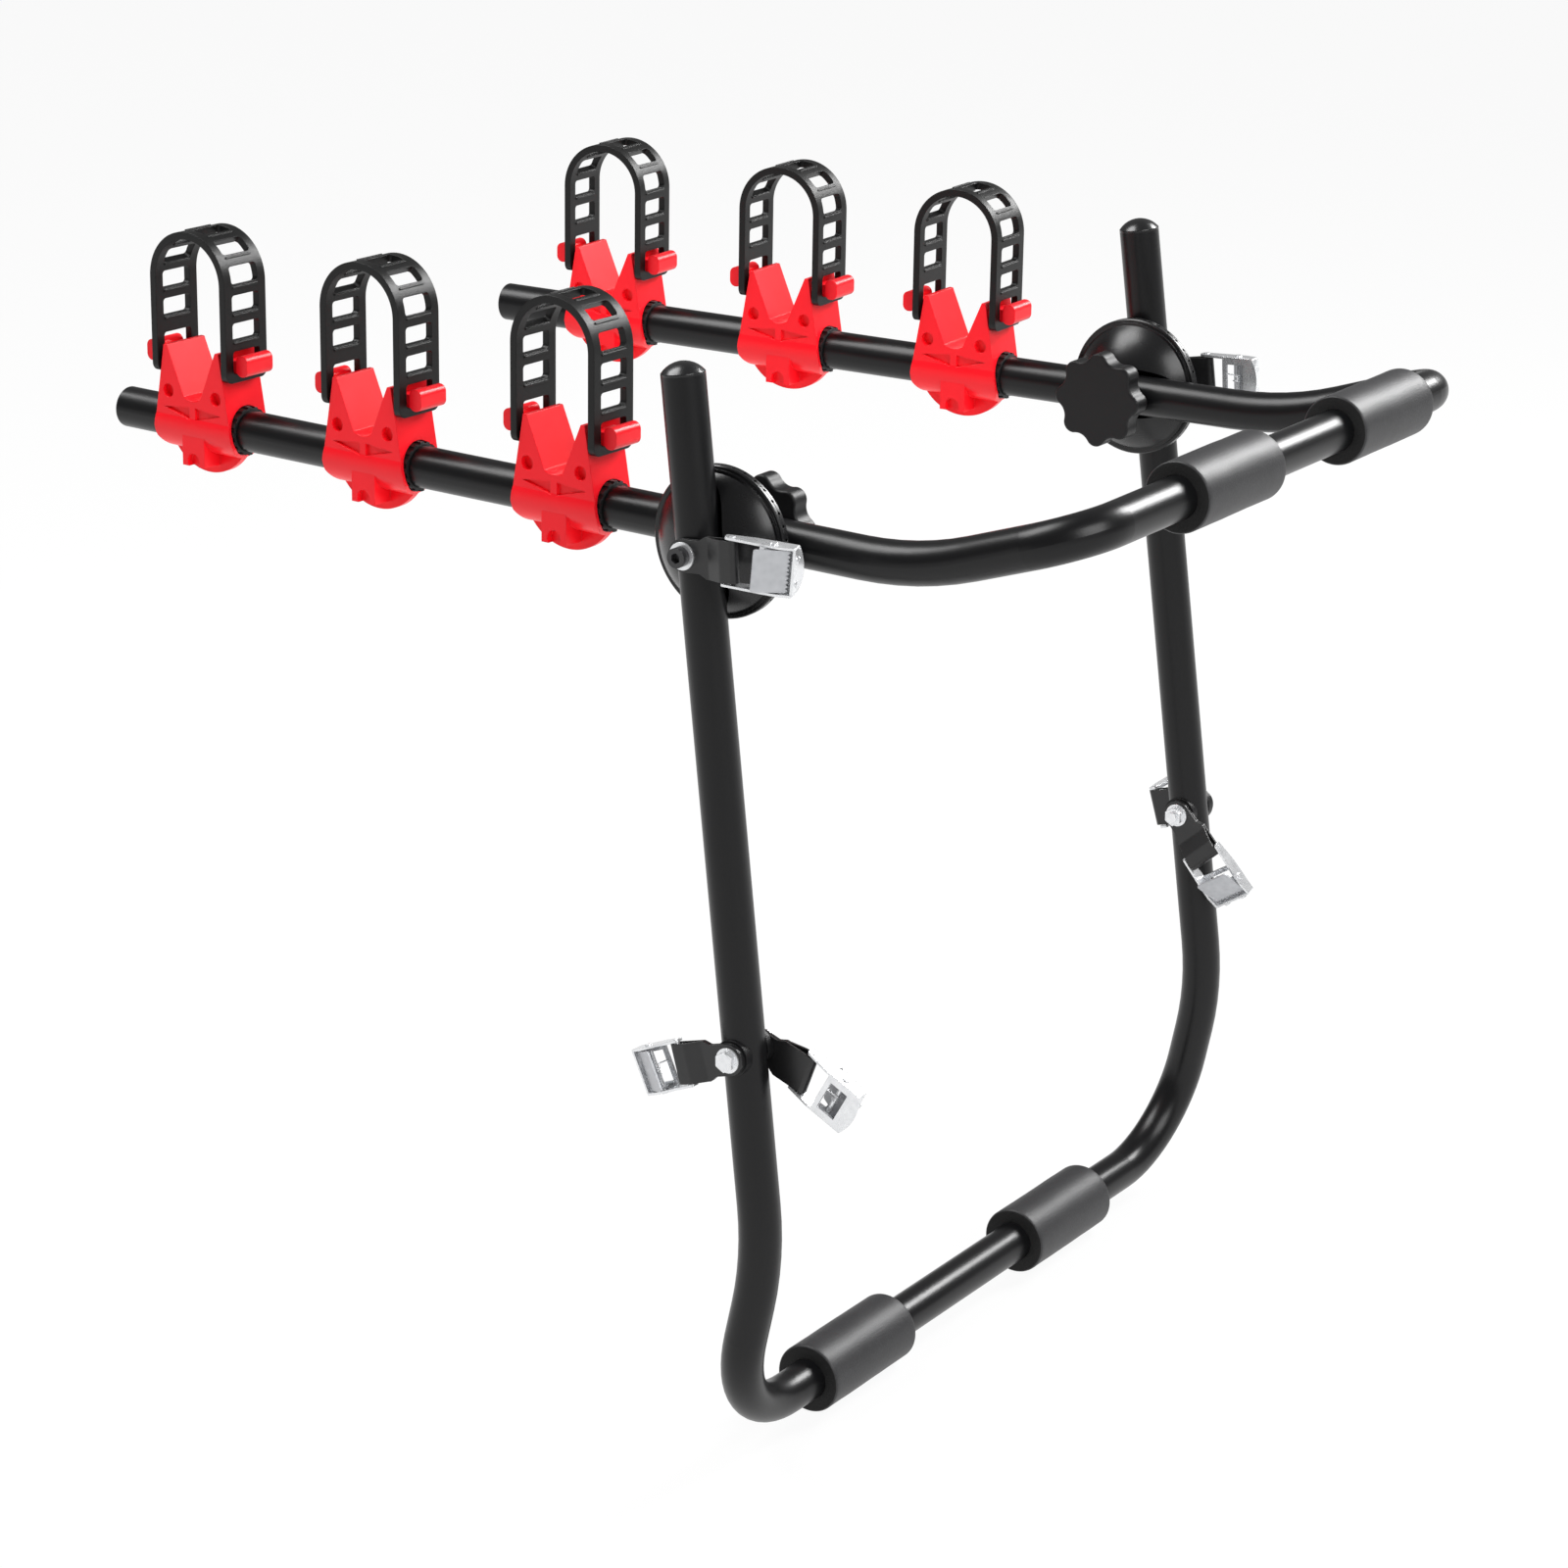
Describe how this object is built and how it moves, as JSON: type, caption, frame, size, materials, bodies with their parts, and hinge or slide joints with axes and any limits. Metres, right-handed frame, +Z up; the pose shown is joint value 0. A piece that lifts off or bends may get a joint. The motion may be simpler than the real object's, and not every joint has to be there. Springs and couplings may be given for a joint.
{
  "type": "trunk mounted bike rack",
  "caption": "Folding trunk mounted bicycle rack: two bent tube frames on toothed hubs, with cradles, ladder straps, foam sleeves and cam buckles.",
  "frame": {"origin": "middle of the line through the two hub bolts", "axes": "+X to the rack's right side in the picture's foreground, +Y towards the vehicle, +Z up"},
  "size_m": [0.6767, 0.8019, 0.7472],
  "materials": {
    "frame_black": "satin powder coat",
    "cap_black": "glossy moulded plastic",
    "foam_grey": "closed cell foam",
    "hub_black": "satin",
    "knob_black": "fine moulded grain",
    "bush_black": "moulded",
    "cradle_red": "semi gloss moulded plastic",
    "strap_rubber": "matte rubber",
    "bracket_black": "satin",
    "zinc_plate": "bright zinc plate",
    "lever_zinc": "dull zinc plate",
    "socket_screw_black": "black oxide"
  },
  "bodies": {
    "lower_frame": {"lower_frame_tube": "frame_black", "upright_caps": "cap_black", "foam_pad_lower_right": "foam_grey", "foam_pad_lower_left": "foam_grey", "hub_shell_outer_right": "hub_black", "hub_shell_outer_left": "hub_black", "hub_bolts": "socket_screw_black", "hub_washers": "zinc_plate", "lower_bolts": "zinc_plate", "lower_nuts": "zinc_plate", "saddle_washers": "knob_black"},
    "arm_frame": {"arm_frame_tube": "frame_black", "arm_end_plugs": "cap_black", "foam_pad_upper_right": "foam_grey", "foam_pad_upper_left": "foam_grey", "hub_shell_inner_right": "hub_black", "hub_shell_inner_left": "hub_black", "cradle_bushes": "bush_black"},
    "knob_right": {"knob_right": "knob_black", "knob_nut_right": "zinc_plate"},
    "knob_left": {"knob_left": "knob_black", "knob_nut_left": "zinc_plate"},
    "cradle_right_1": {"cradle_right_1": "cradle_red", "strap_right_1": "strap_rubber"},
    "cradle_right_2": {"cradle_right_2": "cradle_red", "strap_right_2": "strap_rubber"},
    "cradle_right_3": {"cradle_right_3": "cradle_red", "strap_right_3": "strap_rubber"},
    "cradle_left_1": {"cradle_left_1": "cradle_red", "strap_left_1": "strap_rubber"},
    "cradle_left_2": {"cradle_left_2": "cradle_red", "strap_left_2": "strap_rubber"},
    "cradle_left_3": {"cradle_left_3": "cradle_red", "strap_left_3": "strap_rubber"},
    "bracket_upper_right": {"bracket_upper_right": "bracket_black"},
    "buckle_upper_right": {"buckle_frame_upper_right": "zinc_plate", "buckle_pins_upper_right": "zinc_plate"},
    "lever_upper_right": {"cam_lever_upper_right": "lever_zinc"},
    "bracket_upper_left": {"bracket_upper_left": "bracket_black"},
    "buckle_upper_left": {"buckle_frame_upper_left": "zinc_plate", "buckle_pins_upper_left": "zinc_plate"},
    "lever_upper_left": {"cam_lever_upper_left": "lever_zinc"},
    "bracket_lower_right_outer": {"bracket_lower_right_outer": "bracket_black"},
    "buckle_lower_right_outer": {"buckle_frame_lower_right_outer": "zinc_plate", "buckle_pins_lower_right_outer": "zinc_plate"},
    "lever_lower_right_outer": {"cam_lever_lower_right_outer": "lever_zinc"},
    "bracket_lower_right_inner": {"bracket_lower_right_inner": "bracket_black"},
    "buckle_lower_right_inner": {"buckle_frame_lower_right_inner": "zinc_plate", "buckle_pins_lower_right_inner": "zinc_plate"},
    "lever_lower_right_inner": {"cam_lever_lower_right_inner": "lever_zinc"},
    "bracket_lower_left_inner": {"bracket_lower_left_inner": "bracket_black"},
    "buckle_lower_left_inner": {"buckle_frame_lower_left_inner": "zinc_plate", "buckle_pins_lower_left_inner": "zinc_plate"},
    "lever_lower_left_inner": {"cam_lever_lower_left_inner": "lever_zinc"},
    "bracket_lower_left_outer": {"bracket_lower_left_outer": "bracket_black"},
    "buckle_lower_left_outer": {"buckle_frame_lower_left_outer": "zinc_plate", "buckle_pins_lower_left_outer": "zinc_plate"},
    "lever_lower_left_outer": {"cam_lever_lower_left_outer": "lever_zinc"}
  },
  "joints": [
    {"name": "arm_fold", "type": "hinge", "parent": "lower_frame", "child": "arm_frame", "pos_m": [0, 0, 0], "axis": [1, 0, 0], "range_deg": [-30, 97]},
    {"name": "knob_turn_right", "type": "hinge", "parent": "lower_frame", "child": "knob_right", "pos_m": [0.213, 0, 0], "axis": [1, 0, 0], "continuous": true},
    {"name": "knob_turn_left", "type": "hinge", "parent": "lower_frame", "child": "knob_left", "pos_m": [-0.213, 0, 0], "axis": [1, 0, 0], "continuous": true},
    {"name": "cradle_turn_right_1", "type": "hinge", "parent": "arm_frame", "child": "cradle_right_1", "pos_m": [0.2196, -0.4504, 0], "axis": [0.0408, 0.9992, 0], "range_deg": [-90, 8]},
    {"name": "cradle_turn_right_2", "type": "hinge", "parent": "arm_frame", "child": "cradle_right_2", "pos_m": [0.22583, -0.2979, 0], "axis": [0.0408, 0.9992, 0], "range_deg": [-90, 8]},
    {"name": "cradle_turn_right_3", "type": "hinge", "parent": "arm_frame", "child": "cradle_right_3", "pos_m": [0.23241, -0.1369, 0], "axis": [0.0408, 0.9992, 0], "range_deg": [-90, 8]},
    {"name": "cradle_turn_left_1", "type": "hinge", "parent": "arm_frame", "child": "cradle_left_1", "pos_m": [-0.22055, -0.4271, 0], "axis": [-0.0408, 0.9992, 0], "range_deg": [-8, 90]},
    {"name": "cradle_turn_left_2", "type": "hinge", "parent": "arm_frame", "child": "cradle_left_2", "pos_m": [-0.22687, -0.2725, 0], "axis": [-0.0408, 0.9992, 0], "range_deg": [-8, 90]},
    {"name": "cradle_turn_left_3", "type": "hinge", "parent": "arm_frame", "child": "cradle_left_3", "pos_m": [-0.2329, -0.1248, 0], "axis": [-0.0408, 0.9992, 0], "range_deg": [-8, 90]},
    {"name": "bracket_swing_upper_right", "type": "hinge", "parent": "lower_frame", "child": "bracket_upper_right", "pos_m": [0.3011, 0, 0], "axis": [1, 0, 0], "range_deg": [-40, 45]},
    {"name": "buckle_tilt_upper_right", "type": "hinge", "parent": "bracket_upper_right", "child": "buckle_upper_right", "pos_m": [0.3049, 0.03528, 0.00247], "axis": [0, -0.0872, -0.9962], "range_deg": [-3, 75]},
    {"name": "lever_press_upper_right", "type": "hinge", "parent": "buckle_upper_right", "child": "lever_upper_right", "pos_m": [0.29674, 0.0603, 0.00028], "axis": [0, -0.0872, -0.9962], "range_deg": [0, 26], "stiffness_Nm_per_rad": 0.02, "springref_deg": -17.19},
    {"name": "bracket_swing_upper_left", "type": "hinge", "parent": "lower_frame", "child": "bracket_upper_left", "pos_m": [-0.3011, 0, 0], "axis": [1, 0, 0], "range_deg": [-40, 45]},
    {"name": "buckle_tilt_upper_left", "type": "hinge", "parent": "bracket_upper_left", "child": "buckle_upper_left", "pos_m": [-0.3049, 0.03503, 0.00492], "axis": [0, -0.0698, 0.9976], "range_deg": [-8, 75]},
    {"name": "lever_press_upper_left", "type": "hinge", "parent": "buckle_upper_left", "child": "lever_upper_left", "pos_m": [-0.30306, 0.0613, 0.00676], "axis": [0, -0.0698, 0.9976], "range_deg": [0, 26], "stiffness_Nm_per_rad": 0.02, "springref_deg": -17.19},
    {"name": "bracket_swing_lower_right_outer", "type": "hinge", "parent": "lower_frame", "child": "bracket_lower_right_outer", "pos_m": [0.30831, 0.0431, -0.31961], "axis": [1, 0, 0], "range_deg": [-50, 35]},
    {"name": "buckle_tilt_lower_right_outer", "type": "hinge", "parent": "bracket_lower_right_outer", "child": "buckle_lower_right_outer", "pos_m": [0.31211, 0.0091, -0.32936], "axis": [0, -0.4226, 0.9063], "range_deg": [-5, 75]},
    {"name": "lever_press_lower_right_outer", "type": "hinge", "parent": "buckle_lower_right_outer", "child": "lever_lower_right_outer", "pos_m": [0.30753, -0.01446, -0.34034], "axis": [0, -0.4226, 0.9063], "range_deg": [0, 26], "stiffness_Nm_per_rad": 0.02, "springref_deg": -17.19},
    {"name": "bracket_swing_lower_right_inner", "type": "hinge", "parent": "lower_frame", "child": "bracket_lower_right_inner", "pos_m": [0.27831, 0.0431, -0.31961], "axis": [1, 0, 0], "range_deg": [-20, 60]},
    {"name": "buckle_tilt_lower_right_inner", "type": "hinge", "parent": "bracket_lower_right_inner", "child": "buckle_lower_right_inner", "pos_m": [0.27451, 0.07634, -0.3317], "axis": [0, 0.4848, 0.8746], "range_deg": [-10, 45]},
    {"name": "lever_press_lower_right_inner", "type": "hinge", "parent": "buckle_lower_right_inner", "child": "lever_lower_right_inner", "pos_m": [0.27313, 0.09939, -0.34449], "axis": [0, 0.4848, 0.8746], "range_deg": [0, 26], "stiffness_Nm_per_rad": 0.02, "springref_deg": -17.19},
    {"name": "bracket_swing_lower_left_inner", "type": "hinge", "parent": "lower_frame", "child": "bracket_lower_left_inner", "pos_m": [-0.27831, 0.0431, -0.31961], "axis": [1, 0, 0], "range_deg": [0, 78]},
    {"name": "buckle_tilt_lower_left_inner", "type": "hinge", "parent": "bracket_lower_left_inner", "child": "buckle_lower_left_inner", "pos_m": [-0.27451, 0.06677, -0.34589], "axis": [0, -0.8387, -0.5446], "range_deg": [-1, 45]},
    {"name": "lever_press_lower_left_inner", "type": "hinge", "parent": "buckle_lower_left_inner", "child": "lever_lower_left_inner", "pos_m": [-0.28135, 0.08065, -0.36728], "axis": [0, -0.8387, -0.5446], "range_deg": [0, 26], "stiffness_Nm_per_rad": 0.02, "springref_deg": -17.19},
    {"name": "bracket_swing_lower_left_outer", "type": "hinge", "parent": "lower_frame", "child": "bracket_lower_left_outer", "pos_m": [-0.30831, 0.0431, -0.31961], "axis": [1, 0, 0], "range_deg": [-55, 25]},
    {"name": "buckle_tilt_lower_left_outer", "type": "hinge", "parent": "bracket_lower_left_outer", "child": "buckle_lower_left_outer", "pos_m": [-0.31211, 0.00928, -0.32995], "axis": [0, 0.3584, -0.9336], "range_deg": [-80, 5]},
    {"name": "lever_press_lower_left_outer", "type": "hinge", "parent": "buckle_lower_left_outer", "child": "lever_lower_left_outer", "pos_m": [-0.33841, 0.00713, -0.33077], "axis": [0, 0.3584, -0.9336], "range_deg": [0, 26], "stiffness_Nm_per_rad": 0.02, "springref_deg": -17.19}
  ]
}
